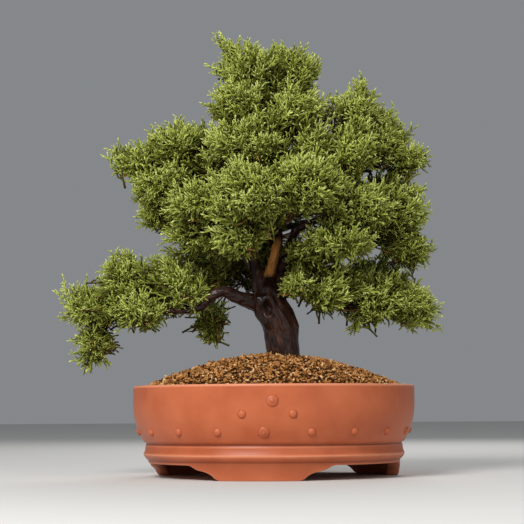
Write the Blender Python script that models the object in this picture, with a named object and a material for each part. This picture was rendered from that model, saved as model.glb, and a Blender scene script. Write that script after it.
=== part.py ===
"""A juniper bonsai in a round clay pot on three cloud-shaped feet.

Units are metres and +Z is up. The design is laid out about the pot's axis, with the feet on z = 0, and an
empty then moves everything so that the middle of the whole model's footprint is the world origin. The front
of the tree faces -Y. The tree is laid out in millimetres from the pot's axis and the level of its rim.
"""

import math

import bmesh
import bpy
import numpy as np
from mathutils import Vector, noise
from mathutils.bvhtree import BVHTree

MM = 0.001
SLIVER = 0.00001  # what a cut leaves below this size is dissolved

# Pot, outside
RIM_RADIUS = 0.120
POT_HEIGHT = 0.077
RIM_EDGE = 0.0014  # rounding of the rim's edges
WALL = 0.008
WALL_TUCK = 0.0106  # how far the wall draws in at its foot
TUCK_START = 0.24  # share of the wall's height that stays upright below the rim
TUCK_POWER = 2.6
BAND_HEIGHT = 0.0155
BAND_STEP = 0.0009  # how far the base band stands out from the foot of the wall
GROOVE = 0.0012
FOOT_HEIGHT = 0.0125
FOOT_WIDTH = 0.011
FOOT_INSET = 0.0024  # from the foot of the wall to the feet's outer face
FLOOR = 0.008
DRAIN_RADIUS = 0.012

# Feet: the angles are measured about the pot's axis from its front, towards +X
FEET = 3
FRONT_FOOT = -6.6
FOOT_HALF_BOTTOM = 19.0
FOOT_HALF_TOP = 33.5
# The stepped end of a cloud foot: shares of the way from bottom corner to top corner, and of the height
FOOT_END = [(0.0, 0.0), (0.06, 0.15), (0.2, 0.38), (0.44, 0.57), (0.73, 0.67), (0.88, 0.86), (1.0, 0.96)]

# Studs: low domes with a small nipple, one row around the wall and three more above it at the front
STUD_ROW_COUNT = 19
STUD_ROW_FIRST = -3.9
STUD_ROW_DEPTH = 0.0385
STUD_RADIUS = 0.0034
BIG_STUD_RADIUS = 0.0048
STUD_HEIGHT = 0.0019
FRONT_STUDS = [(-0.5, 0.0137, BIG_STUD_RADIUS), (-12.2, 0.024, STUD_RADIUS), (7.3, 0.024, STUD_RADIUS)]

# Drainage mesh and its clip
MESH_BARS = 6
MESH_PITCH = 0.0065
MESH_BAR = 0.0016
MESH_THICKNESS = 0.0012
CLIP_WIRE = 0.0015
CLIP_REACH = 0.018  # half the length of the clip's bent ends

# Soil
SOIL_HEAP = 0.0275  # top of the heap above the rim
SOIL_POWER = 1.8
SOIL_DROP = 0.0012  # from the rim down to the soil at the wall
SOIL_GAP = 0.0005

# Tree
TRUNK_THICKNESS = 1.0  # factor on every radius of the trunk
PAD_GAP = 0.0012
FIT = 0.0004  # clearance between wood and foliage, and where a branch meets the trunk
TWIG_LEAST = 0.012  # a clump whose middle is nearer than this to a stem has no twig of its own

rng = np.random.default_rng(7)


# ---------------------------------------------------------------- helpers

def material(name, hex_colour, roughness, metallic=0.0):
    """A Principled material with an sRGB hex colour."""
    channels = [int(hex_colour[i:i + 2], 16) / 255 for i in (1, 3, 5)]
    linear = [c / 12.92 if c <= 0.04045 else ((c + 0.055) / 1.055) ** 2.4 for c in channels]
    mat = bpy.data.materials.new(name)
    mat.use_nodes = True
    shader = mat.node_tree.nodes["Principled BSDF"]
    shader.inputs["Base Color"].default_value = (*linear, 1)
    shader.inputs["Roughness"].default_value = roughness
    shader.inputs["Metallic"].default_value = metallic
    mat.diffuse_color = (*linear, 1)
    return mat


def solid(name, verts, faces, mat):
    """A mesh object, its faces turned outwards."""
    mesh = bpy.data.meshes.new(name)
    mesh.from_pydata([tuple(v) for v in verts], [], faces)
    bm = bmesh.new()
    bm.from_mesh(mesh)
    bmesh.ops.recalc_face_normals(bm, faces=bm.faces)
    bm.to_mesh(mesh)
    bm.free()
    mesh.materials.append(mat)
    mesh.shade_smooth()
    mesh.set_sharp_from_angle(angle=math.radians(40))
    ob = bpy.data.objects.new(name, mesh)
    bpy.context.scene.collection.objects.link(ob)
    return ob


def boolean(ob, other, operation):
    """Joins other to ob or cuts it out of ob, and removes other."""
    modifier = ob.modifiers.new(operation, "BOOLEAN")
    modifier.operation = operation
    modifier.object = other
    modifier.solver = "EXACT"
    depsgraph = bpy.context.evaluated_depsgraph_get()
    result = bpy.data.meshes.new_from_object(ob.evaluated_get(depsgraph))
    ob.modifiers.clear()
    old, name = ob.data, ob.data.name
    ob.data = result
    bpy.data.meshes.remove(old)
    result.name = name
    while len(result.materials) > 1:
        result.materials.pop()
    bpy.data.objects.remove(other)
    bm = bmesh.new()
    bm.from_mesh(result)
    bmesh.ops.triangulate(bm, faces=bm.faces)
    bmesh.ops.dissolve_degenerate(bm, edges=bm.edges, dist=SLIVER)
    bm.to_mesh(result)
    bm.free()


def keep_largest(ob):
    """Drops the crumbs that a cut leaves beside the body itself."""
    bm = bmesh.new()
    bm.from_mesh(ob.data)
    left = set(bm.verts)
    bodies = []
    while left:
        body, edge = set(), [left.pop()]
        while edge:
            vert = edge.pop()
            body.add(vert)
            for link in vert.link_edges:
                near = link.other_vert(vert)
                if near in left:
                    left.discard(near)
                    edge.append(near)
        bodies.append(body)
    bodies.sort(key=len)
    for body in bodies[:-1]:
        bmesh.ops.delete(bm, geom=list(body), context="VERTS")
    bm.to_mesh(ob.data)
    bm.free()


def turned(name, rows, angles, mat, poles=None):
    """Rows of (radius, height) carried around Z, or of functions of the angle that give them.

    With poles, the heights at which it closes on the axis at its first and last rows. Without, the rows close
    on themselves as a ring.
    """
    verts = []
    for row in rows:
        for angle in angles:
            radius, height = row(angle) if callable(row) else row
            verts.append((radius * math.sin(angle), -radius * math.cos(angle), height))
    count, faces = len(angles), []
    pairs = list(zip(range(len(rows)), range(1, len(rows))))
    if poles is None:
        pairs.append((len(rows) - 1, 0))
    for a, b in pairs:
        for i in range(count):
            j = (i + 1) % count
            faces.append((a * count + i, a * count + j, b * count + j, b * count + i))
    if poles is not None:
        for row, height in ((0, poles[0]), (len(rows) - 1, poles[1])):
            verts.append((0, 0, height))
            for i in range(count):
                faces.append((row * count + i, row * count + (i + 1) % count, len(verts) - 1))
    return solid(name, verts, faces, mat)


def smooth_path(points, radii, step):
    """A Catmull-Rom curve through the points, with a point about every step, and the radius along it."""
    points = np.array(points, float)
    path, out_radii = [], []
    ends = np.vstack([2 * points[0] - points[1], points, 2 * points[-1] - points[-2]])
    for i in range(len(points) - 1):
        a, b, c, d = ends[i:i + 4]
        parts = max(1, round(np.linalg.norm(c - b) / step))
        for k in range(parts):
            t = k / parts
            path.append(0.5 * (2 * b + (c - a) * t + (2 * a - 5 * b + 4 * c - d) * t * t
                               + (3 * b - a - 3 * c + d) * t ** 3))
            out_radii.append(radii[i] * (1 - t) + radii[i + 1] * t)
    path.append(points[-1])
    out_radii.append(radii[-1])
    return np.array(path), np.array(out_radii)


def tube(name, path, radii, sides, mat, lumps=0.0, grow=0.0):
    """A closed tube along a path. lumps is the share by which its radius wanders, grow makes a clearance."""
    verts, faces = [], []
    along = np.gradient(path, axis=0)
    along /= np.linalg.norm(along, axis=1)[:, None]
    path = path.copy()
    path[0] -= along[0] * grow
    path[-1] += along[-1] * grow
    side = Vector((0, -1, 0)) if abs(along[0][1]) < 0.8 else Vector((1, 0, 0))
    for i, (place, direction) in enumerate(zip(path, along)):
        direction = Vector(direction)
        side = (side - direction * side.dot(direction)).normalized()
        across = direction.cross(side)
        for k in range(sides):
            turn = 2 * math.pi * k / sides
            out = side * math.cos(turn) + across * math.sin(turn)
            wander = noise.noise((Vector(place) + out * radii[i]) * 90) if lumps else 0
            verts.append(Vector(place) + out * (radii[i] * (1 + lumps * wander) + grow))
        if i:
            for k in range(sides):
                j = (k + 1) % sides
                low, high = (i - 1) * sides, i * sides
                faces.append((low + k, low + j, high + j, high + k))
    faces.append(tuple(range(sides)))
    faces.append(tuple((len(path) - 1) * sides + k for k in range(sides)))
    return solid(name, verts, faces, mat)


def box_of(ob):
    """The low and high corners of an object that has no rotation."""
    points = np.array([v.co for v in ob.data.vertices])
    return points.min(axis=0), points.max(axis=0)


# ---------------------------------------------------------------- pot

BAND_TOP = FOOT_HEIGHT + BAND_HEIGHT
WALL_FOOT_RADIUS = RIM_RADIUS - WALL_TUCK
FOOT_OUTER = WALL_FOOT_RADIUS - FOOT_INSET
FOOT_INNER = FOOT_OUTER - FOOT_WIDTH
FLOOR_TOP = FOOT_HEIGHT + FLOOR


def wall_radius(height):
    """The wall's outer radius: upright under the rim, then tucking in towards the base band."""
    share = (POT_HEIGHT - height) / (POT_HEIGHT - BAND_TOP)
    tuck = max(0.0, min(1.0, (share - TUCK_START) / (1 - TUCK_START)))
    return RIM_RADIUS - WALL_TUCK * tuck ** TUCK_POWER


def foot_underside(angle):
    """Height of the foot ring's underside: the ground under a foot, almost the pot's base between feet."""
    pitch = 360 / FEET
    off = abs((math.degrees(angle) - FRONT_FOOT + pitch / 2) % pitch - pitch / 2)
    share = (off - FOOT_HALF_BOTTOM) / (FOOT_HALF_TOP - FOOT_HALF_BOTTOM)
    shares, heights = zip(*FOOT_END)
    return FOOT_HEIGHT * float(np.interp(share, shares, heights))


def pot_angles():
    """The angles around the pot, close together on the ends of the feet."""
    angles = []
    for foot in range(FEET):
        middle = FRONT_FOOT + foot * 360 / FEET
        flank = [FOOT_HALF_BOTTOM + s * (FOOT_HALF_TOP - FOOT_HALF_BOTTOM) for s, _ in FOOT_END]
        angles += [middle - a for a in reversed(flank)]
        angles += list(np.linspace(middle - FOOT_HALF_BOTTOM, middle + FOOT_HALF_BOTTOM, 6)[1:-1])
        angles += [middle + a for a in flank]
        gap_end = middle + 360 / FEET - FOOT_HALF_TOP
        angles += list(np.linspace(middle + FOOT_HALF_TOP, gap_end, 9)[1:-1])
    return [math.radians(a) for a in angles]


def inner_profile(gap):
    """The inside of the pot from the rim's height down to the floor, drawn in by a gap."""
    heights = np.linspace(POT_HEIGHT - RIM_EDGE, FLOOR_TOP + WALL / 2, 4)
    rows = [(wall_radius(h) - WALL - gap, h) for h in heights]
    rows.append((WALL_FOOT_RADIUS - WALL * 1.6 - gap, FLOOR_TOP + gap))
    return rows


def make_pot(clay):
    wall_heights = [POT_HEIGHT - s * (POT_HEIGHT - BAND_TOP) for s in (0.24, 0.48, 0.68, 0.85, 0.95)]
    band = WALL_FOOT_RADIUS + BAND_STEP
    rows = [(RIM_RADIUS - RIM_EDGE, POT_HEIGHT), (RIM_RADIUS, POT_HEIGHT - RIM_EDGE)]
    rows += [(wall_radius(h), h) for h in wall_heights]
    rows += [
        (WALL_FOOT_RADIUS - GROOVE / 2, BAND_TOP),
        (band - BAND_STEP / 2, BAND_TOP - GROOVE),
        (band + BAND_STEP / 2, BAND_TOP - BAND_HEIGHT * 0.5),
        (band + BAND_STEP / 2, BAND_TOP - BAND_HEIGHT * 0.62),
        (band - BAND_STEP, BAND_TOP - BAND_HEIGHT * 0.86),
        (FOOT_OUTER - BAND_STEP / 4, FOOT_HEIGHT + GROOVE),
        lambda a: (FOOT_OUTER, foot_underside(a)),
        lambda a: (FOOT_INNER, foot_underside(a)),
        (FOOT_INNER, FOOT_HEIGHT),
        (DRAIN_RADIUS, FOOT_HEIGHT),
        (DRAIN_RADIUS, FLOOR_TOP),
    ]
    rows += list(reversed(inner_profile(0)))
    rows.append((RIM_RADIUS - WALL + RIM_EDGE, POT_HEIGHT))
    pot = turned("pot", rows, pot_angles(), clay)

    studs = [(STUD_ROW_FIRST + i * 360 / STUD_ROW_COUNT, STUD_ROW_DEPTH, STUD_RADIUS)
             for i in range(STUD_ROW_COUNT)]
    studs[0] = (STUD_ROW_FIRST, STUD_ROW_DEPTH, BIG_STUD_RADIUS)
    verts, faces = [], []
    for angle, depth, radius in studs + FRONT_STUDS:
        height = POT_HEIGHT - depth
        slope = (wall_radius(height + MM) - wall_radius(height - MM)) / (2 * MM)
        turn = math.radians(angle)
        round_pot = Vector((math.cos(turn), math.sin(turn), 0))
        out = Vector((math.sin(turn), -math.cos(turn), -slope)).normalized()
        up = out.cross(round_pot)
        centre = Vector((math.sin(turn), -math.cos(turn), 0)) * wall_radius(height) + Vector((0, 0, height))
        first = len(verts)
        sides = 8
        for share, rise in ((1.0, -STUD_HEIGHT), (0.9, 0.5 * STUD_HEIGHT), (0.36, STUD_HEIGHT)):
            for k in range(sides):
                around = 2 * math.pi * (k + 0.5) / sides
                edge = round_pot * math.cos(around) + up * math.sin(around)
                verts.append(centre + edge * radius * share + out * rise)
        for row in range(2):
            for k in range(sides):
                low, j = first + row * sides, (k + 1) % sides
                faces.append((low + k, low + j, low + sides + j, low + sides + k))
        verts.append(centre + out * STUD_HEIGHT * 1.5)
        top = first + 2 * sides
        faces += [(top + k, top + (k + 1) % sides, len(verts) - 1) for k in range(sides)]
        faces.append(tuple(first + k for k in range(sides)))
    boolean(pot, solid("studs", verts, faces, clay), "UNION")
    return pot


def make_drain_mesh(plastic):
    """A square of plastic mesh: two layers of bars welded into one lattice, as a plate with square holes."""
    half = (MESH_BARS - 1) * MESH_PITCH / 2
    bottom = FLOOR_TOP + FIT
    lines = []
    for i in range(MESH_BARS):
        middle = -half + i * MESH_PITCH
        lines += [middle - MESH_BAR / 2, middle + MESH_BAR / 2]
    count = len(lines)

    def is_hole(i, j):
        return i % 2 == 1 and j % 2 == 1

    verts = [(x, y, z) for z in (bottom, bottom + MESH_THICKNESS) for y in lines for x in lines]
    layer, faces = count * count, []
    for j in range(count - 1):
        for i in range(count - 1):
            a, b = j * count + i, (j + 1) * count + i
            if is_hole(i, j):
                for p, q in ((a, a + 1), (a + 1, b + 1), (b + 1, b), (b, a)):
                    faces.append((q, p, p + layer, q + layer))
            else:
                faces.append((a, b, b + 1, a + 1))
                faces.append((a + layer, a + 1 + layer, b + 1 + layer, b + layer))
    rim = ([(i, i + 1) for i in range(count - 1)]
           + [(i * count + count - 1, (i + 1) * count + count - 1) for i in range(count - 1)]
           + [(layer - 1 - i, layer - 2 - i) for i in range(count - 1)]
           + [((i + 1) * count, i * count) for i in range(count - 1)])
    faces += [(p, q, q + layer, p + layer) for p, q in rim]
    return solid("drain_mesh", verts, faces, plastic)


def clip_path():
    """The clip goes over the mesh, down through a hole in it on each side, and out under the floor."""
    leg = MESH_PITCH * int((DRAIN_RADIUS - CLIP_WIRE) / MESH_PITCH)
    top = FLOOR_TOP + MESH_THICKNESS + 2 * FIT + CLIP_WIRE / 2
    bottom = FOOT_HEIGHT - FIT - CLIP_WIRE / 2
    half = [(CLIP_REACH, bottom), (leg + CLIP_WIRE, bottom), (leg, bottom + CLIP_WIRE),
            (leg, top - CLIP_WIRE), (leg - CLIP_WIRE, top)]
    return np.array([(-x, 0, z) for x, z in half] + [(x, 0, z) for x, z in reversed(half)])


def make_clip(metal, grow=0.0, name="mesh_clip"):
    path = clip_path()
    return tube(name, path, np.full(len(path), CLIP_WIRE / 2), 6, metal, grow=grow)


# ---------------------------------------------------------------- soil

def heap_height(x, y):
    """Height of the soil's surface: a low heap with a little unevenness."""
    edge = wall_radius(POT_HEIGHT) - WALL - SOIL_GAP
    share = min(1.0, math.hypot(x, y) / edge)
    rough = 0.0011 * noise.noise(Vector((x, y, 0)) * 70) * (1 - share ** 4)
    return POT_HEIGHT - SOIL_DROP + (SOIL_HEAP + SOIL_DROP) * (1 - share ** SOIL_POWER) + rough


def make_soil(earth):
    angles = [2 * math.pi * i / 44 for i in range(44)]
    rows = [(radius, height) for radius, height in reversed(inner_profile(SOIL_GAP))]
    rows[-1] = (rows[-1][0], POT_HEIGHT - SOIL_DROP)
    edge = rows[-1][0]
    for share in (0.93, 0.82, 0.68, 0.53, 0.38, 0.24, 0.12):
        rows.append(lambda a, r=edge * share: (r, heap_height(r * math.sin(a), -r * math.cos(a))))
    return turned("soil", rows, angles, earth, poles=(FLOOR_TOP + SOIL_GAP, heap_height(0, 0)))


# ---------------------------------------------------------------- wood

# Trunk and leading stem: (x, y, height above the rim) and radius, in mm
TRUNK = [
    ((11, 1, -14), 12.6), ((10.5, 0.5, 6), 13.4), ((9.5, 0, 25), 13.8), ((8, 0, 37), 14.2),
    ((6, -0.5, 48), 15.0), ((3, -1, 57), 15.4), ((-1, -1.5, 66), 15.2), ((-4, -2, 76), 14.0),
    ((-4.5, -2, 84), 10.8), ((-3, -2, 93), 6.6), ((-0.5, -2, 102), 5.2), ((2.5, -2, 113), 4.8),
    ((4.5, -2, 124), 4.7), ((4, 0, 140), 4.8), ((0, 4, 158), 4.4), ((-4, 6, 178), 4.0),
    ((-5, 5, 200), 3.5), ((-3, 2, 225), 2.9), ((-7, 0, 246), 2.3), ((-14, -3, 262), 1.7),
]
STUB = [((-8, -3, 77), 8.4), ((-12, -4, 89), 6.8), ((-14.5, -4.5, 101), 5.0), ((-16, -5, 110), 3.8),
        ((-17, -5, 118), 2.0)]

# Main branches: the way from the trunk's middle, the radius at both ends, and the clumps they carry
BRANCHES = {
    "branch_lower_left": (
        [(-7, -3, 68), (-23, -6, 73), (-32, -8, 76), (-42, -9, 81), (-51, -9, 78), (-62, -8, 67),
         (-90, -6, 64), (-112, -7, 62), (-134, -3, 64), (-152, 0, 62)], 7.4, 1.5,
        ["lower_left_top", "lower_left_tip", "lower_left_hang", "lower_left_mid", "lower_left_inner",
         "lower_left_back"]),
    "branch_lower_right": (
        [(-4, 0, 74), (12, 5, 80), (28, 4, 80), (48, -2, 70), (80, 0, 66), (108, 2, 66), (122, 1, 66)],
        5.6, 1.4,
        ["lower_right_inner", "lower_right_mid", "lower_right_tip", "lower_right_back",
         "right_inner_low", "right_inner_front"]),
    "branch_left": (
        [(-13, -4, 97), (-23, -2, 108), (-36, 0, 122), (-50, 0, 140), (-70, 0, 160), (-86, 0, 180),
         (-108, 0, 188)], 4.4, 1.4,
        ["upper_left_top", "upper_left_tip", "upper_left_mid", "upper_left_low", "upper_left_back",
         "upper_left_inner"]),
    "branch_right": (
        [(-1, -1, 82), (8, -2, 98), (14, -3, 114), (19, -4, 132), (38, -6, 142), (64, -8, 146),
         (90, -4, 144), (110, 0, 142)], 6.0, 1.5,
        ["right_out", "right_out_low", "right_mid", "right_low"]),
    "branch_front": (
        [(1, -2, 122), (-3, -16, 134), (-4, -32, 142), (-6, -50, 146), (-12, -66, 150)], 3.4, 1.4,
        ["front_mid", "front_low", "front_right"]),
    "branch_front_left": (
        [(3, 0, 132), (-14, -10, 142), (-32, -24, 146), (-50, -36, 148)], 3.0, 1.3,
        ["front_left", "front_left_low"]),
    "branch_back": (
        [(2, 1, 144), (-1, 18, 152), (-4, 34, 162), (-8, 52, 172)], 3.6, 1.5, ["centre_back"]),
    "branch_back_left": (
        [(-9, -1, 82), (-15, 14, 92), (-30, 26, 102), (-46, 34, 106)], 3.2, 1.3,
        ["back_left_low", "back_left_hang", "centre_back_low"]),
    "branch_back_right": (
        [(3, 0, 134), (20, 16, 140), (42, 32, 147), (72, 48, 154)], 3.4, 1.4, ["right_back"]),
    "branch_upper_right": (
        [(-3, 6, 172), (14, 2, 182), (38, -4, 194), (62, -2, 206), (84, 0, 212), (106, 3, 198)], 3.4, 1.3,
        ["upper_right_top", "upper_right_mid", "upper_right_tip", "upper_right_front",
         "upper_right_back", "front_right_top"]),
    "branch_apex_back": (
        [(-5, 5, 206), (-4, 18, 226), (-3, 32, 246)], 2.6, 1.3, ["apex_back"]),
}
# Clumps that grow on short twigs from the leading stem
LEADER_CLUMPS = ["apex_left", "apex_right", "apex_low_left", "apex_low_right", "front_top"]


def in_place(points):
    """Tree coordinates in millimetres to metres about the pot's axis."""
    return np.array(points, float) * MM + np.array([0, 0, POT_HEIGHT])


def wood_radii(radii):
    return np.array(radii, float) * MM * TRUNK_THICKNESS


def joined(name, tubes):
    """Overlapping tubes grown into one body."""
    body, *rest = tubes
    for piece in rest:
        boolean(body, piece, "UNION")
    body.name = body.data.name = name
    return body


def trunk_path():
    places, radii = zip(*TRUNK)
    return smooth_path(in_place(places), wood_radii(radii), 0.014)


def trunk_body(name, wood, grow=0.0):
    """The trunk with its leading stem, a broken stub and the twigs to the clumps about the leader."""
    path, radii = trunk_path()
    places, stub_radii = zip(*STUB)
    tubes = [
        tube(name, path, radii, 12, wood, lumps=0.16, grow=grow),
        tube("stub", in_place(places), wood_radii(stub_radii), 7, wood, lumps=0.2, grow=grow),
    ]
    tubes += [twig_tube(path, clump, wood, grow) for clump in LEADER_CLUMPS]
    return joined(name, tubes)


def branch_body(name, wood, grow=0.0):
    """One branch: its stem, and a twig to each clump whose middle the stem doesn't reach."""
    points, thick, thin, clumps = BRANCHES[name]
    radii = wood_radii(np.linspace(1, 0, len(points)) ** 1.15 * (thick - thin) + thin)
    path, radii = smooth_path(in_place(points), radii, 0.016)
    tubes = [tube(name, path, radii, 7, wood, lumps=0.2, grow=grow)]
    for clump in clumps:
        if np.linalg.norm(path - CLUMP_CENTRES[clump], axis=1).min() > TWIG_LEAST:
            tubes.append(twig_tube(path, clump, wood, grow))
    return joined(name, tubes)


def twig_tube(stem, clump, wood, grow):
    """A twig from a stem's path into the middle of a clump."""
    centre = CLUMP_CENTRES[clump]
    reach = np.linalg.norm(stem - centre, axis=1) - np.linspace(0, 0.01, len(stem))
    start = stem[min(int(np.argmin(reach)), len(stem) - 2)]
    middle = start * 0.45 + centre * 0.55 - np.array([0, 0, 0.004])
    end = start * 0.1 + centre * 0.9
    route, radii = smooth_path([start, middle, end], wood_radii([1.3, 1.2, 1.0]), 0.022)
    return tube("twig", route, radii, 5, wood, grow=grow)


def make_branches(wood):
    """The branches, each cut back to the bark of the trunk and of the branches before it that it touches."""
    branches = []
    for name in BRANCHES:
        branch = branch_body(name, wood)
        boolean(branch, trunk_body("cutter", wood, FIT), "DIFFERENCE")
        for other in branches:
            if surfaces_meet(branch, other):
                boolean(branch, branch_body(other.name, wood, FIT), "DIFFERENCE")
        keep_largest(branch)
        branches.append(branch)
    return branches


# ---------------------------------------------------------------- foliage

# Clumps of scale-leaved shoots: (x, y, height above the rim) of the middle and half sizes, in mm
CLUMPS = {
    "apex_left": ((-19, -5, 271), (25, 29, 26)),
    "apex_right": ((17, 5, 268), (25, 27, 30)),
    "apex_low_left": ((-27, -16, 241), (26, 32, 23)),
    "apex_low_right": ((20, -18, 232), (31, 37, 24)),
    "apex_back": ((-3, 38, 256), (41, 30, 39)),
    "upper_right_top": ((73, -5, 230), (24, 27, 28)),
    "upper_right_mid": ((87, 0, 210), (25, 32, 21)),
    "upper_right_tip": ((115, 5, 194), (24, 27, 15)),
    "upper_right_front": ((64, -32, 197), (30, 29, 21)),
    "upper_right_back": ((86, 46, 223), (39, 32, 32)),
    "upper_left_top": ((-79, 0, 208), (34, 32, 23)),
    "upper_left_tip": ((-111, 0, 193), (30, 27, 18)),
    "upper_left_mid": ((-91, -20, 168), (31, 29, 23)),
    "upper_left_low": ((-99, 2, 149), (20, 24, 17)),
    "upper_left_inner": ((-49, 2, 195), (28, 29, 27)),
    "upper_left_back": ((-88, 48, 187), (44, 34, 32)),
    "front_left": ((-57, -42, 152), (37, 34, 22)),
    "front_left_low": ((-63, -24, 130), (30, 29, 21)),
    "front_top": ((-20, -32, 204), (39, 32, 26)),
    "front_mid": ((-19, -72, 155), (40, 34, 28)),
    "front_right": ((27, -66, 163), (38, 34, 27)),
    "front_low": ((-28, -50, 120), (28, 27, 17)),
    "front_right_top": ((37, -30, 202), (24, 27, 20)),
    "centre_back": ((-10, 56, 177), (51, 37, 44)),
    "centre_back_low": ((-12, 42, 118), (36, 26, 26)),
    "right_mid": ((71, -36, 149), (38, 34, 24)),
    "right_out": ((108, 0, 147), (26, 32, 32)),
    "right_low": ((56, -42, 118), (37, 29, 20)),
    "right_out_low": ((116, 4, 115), (24, 26, 17)),
    "right_inner_low": ((35, -16, 108), (27, 24, 20)),
    "right_inner_front": ((21, -31, 85), (19, 14, 11)),
    "right_back": ((89, 56, 157), (45, 37, 37)),
    "lower_right_inner": ((50, -12, 80), (31, 32, 21)),
    "lower_right_mid": ((86, -4, 73), (32, 33, 26)),
    "lower_right_tip": ((120, 0, 67), (25, 29, 22)),
    "lower_right_back": ((82, 46, 87), (44, 32, 26)),
    "lower_left_top": ((-129, 0, 90), (20, 24, 28)),
    "lower_left_tip": ((-157, 0, 65), (27, 27, 23)),
    "lower_left_hang": ((-155, 0, 37), (15, 16, 26)),
    "lower_left_mid": ((-113, -10, 67), (32, 30, 22)),
    "lower_left_inner": ((-85, 1, 84), (32, 29, 31)),
    "lower_left_back": ((-119, 42, 83), (41, 32, 27)),
    "back_left_low": ((-55, 38, 105), (28, 27, 29)),
    "back_left_hang": ((-55, 32, 57), (14, 15, 27)),
}
# Long shoots that stand out from a clump: where they end, in the same units
LONG_SHOOTS = {
    "apex_left": [(-51, -5, 312), (-37, -6, 302), (-58, -8, 276)],
    "apex_right": [(16, 4, 305), (43, 2, 287)],
    "apex_back": [(-8, 52, 300), (22, 62, 280)],
    "upper_right_top": [(78, -5, 271), (86, -8, 256)],
    "upper_right_mid": [(99, -4, 235)],
    "upper_right_tip": [(140, 3, 194)],
    "upper_left_top": [(-107, -4, 233), (-82, -6, 234)],
    "upper_left_tip": [(-146, -3, 207)],
    "upper_left_inner": [(-51, 0, 229)],
    "upper_left_low": [(-117, 0, 151), (-101, -2, 132)],
    "right_out": [(134, -2, 167)],
    "right_out_low": [(140, 2, 113)],
    "lower_right_mid": [(57, -6, 42)],
    "lower_right_tip": [(147, -2, 59), (141, -4, 43)],
    "lower_left_top": [(-131, -2, 121)],
    "lower_left_inner": [(-96, -6, 117)],
    "lower_left_tip": [(-181, -2, 87), (-184, -3, 47), (-173, -3, 39)],
    "lower_left_hang": [(-162, -2, 8)],
    "back_left_hang": [(-51, 30, 30)],
}
CLUMP_CENTRES = {name: in_place(centre) for name, (centre, _) in CLUMPS.items()}
CLUMP_SIZES = {name: np.array(size) * MM for name, (_, size) in CLUMPS.items()}
DIRECTIONS = 60
SHAG = 0.30  # how much the radius jumps from shoot to shoot


def clump_radius(name, direction):
    """Distance from a clump's middle to its plain surface: an ellipsoid, flatter underneath."""
    size = CLUMP_SIZES[name] * ([1, 1, 0.8] if direction[2] < 0 else [1, 1, 1])
    return 1 / np.linalg.norm(direction / size)


def clump_points(name):
    """Points of a clump's surface about its middle, with its long shoots, before its neighbours press it."""
    turn = rng.uniform(0, 2 * math.pi)
    heights = 1 - (2 * np.arange(DIRECTIONS) + 1) / DIRECTIONS
    around = turn + np.arange(DIRECTIONS) * math.pi * (3 - math.sqrt(5))
    flat = np.sqrt(1 - heights ** 2)
    directions = np.stack([flat * np.cos(around), flat * np.sin(around), heights], axis=1)
    tips = [in_place(t) - CLUMP_CENTRES[name] for t in LONG_SHOOTS.get(name, [])]
    for tip in tips:
        near = directions @ (tip / np.linalg.norm(tip)) > math.cos(math.radians(15))
        directions = directions[~near]
    shag = 1 + SHAG * (rng.random(len(directions)) - 0.45)
    points = [d * clump_radius(name, d) * s for d, s in zip(directions, shag)]
    return np.array(points + tips)


def make_clumps(leaves):
    """The clumps. Where two would meet, both are pressed flat against a plane between them."""
    points = {name: clump_points(name) for name in CLUMPS}
    reach = {name: np.linalg.norm(p, axis=1).max() for name, p in points.items()}
    objects = []
    for name, mine in points.items():
        for other in CLUMPS:
            between = CLUMP_CENTRES[other] - CLUMP_CENTRES[name]
            distance = np.linalg.norm(between)
            if other == name or distance > reach[name] + reach[other] + PAD_GAP:
                continue
            toward = between / distance
            near, far = clump_radius(name, toward), clump_radius(other, -toward)
            limit = distance * near / (near + far) - PAD_GAP / 2
            along = mine @ toward
            factor = np.where(along > limit, limit / np.maximum(along, 1e-9), 1.0)
            mine *= factor[:, None]
        bm = bmesh.new()
        for point in mine:
            bm.verts.new(point / np.linalg.norm(point))
        bmesh.ops.convex_hull(bm, input=bm.verts)
        bm.verts.ensure_lookup_table()
        faces = [[v.index for v in f.verts] for f in bm.faces]
        bm.free()
        objects.append(solid("foliage_" + name, mine + CLUMP_CENTRES[name], faces, leaves))
    return objects


def clear_wood(clumps, wood):
    """Cuts the way of each stem and twig out of the clumps that it enters."""
    cutters = [trunk_body("cutter", wood, FIT)] + [branch_body(name, wood, FIT) for name in BRANCHES]
    for clump in clumps:
        for cutter in cutters:
            if surfaces_meet(clump, cutter):
                copy = cutter.copy()
                copy.data = cutter.data.copy()
                bpy.context.scene.collection.objects.link(copy)
                boolean(clump, copy, "DIFFERENCE")
        keep_largest(clump)
    for cutter in cutters:
        bpy.data.objects.remove(cutter)


def surfaces_meet(a, b):
    trees = []
    for ob in (a, b):
        mesh = ob.data
        trees.append(BVHTree.FromPolygons([v.co for v in mesh.vertices], [p.vertices for p in mesh.polygons]))
    return bool(trees[0].overlap(trees[1]))


# ---------------------------------------------------------------- assembly

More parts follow.
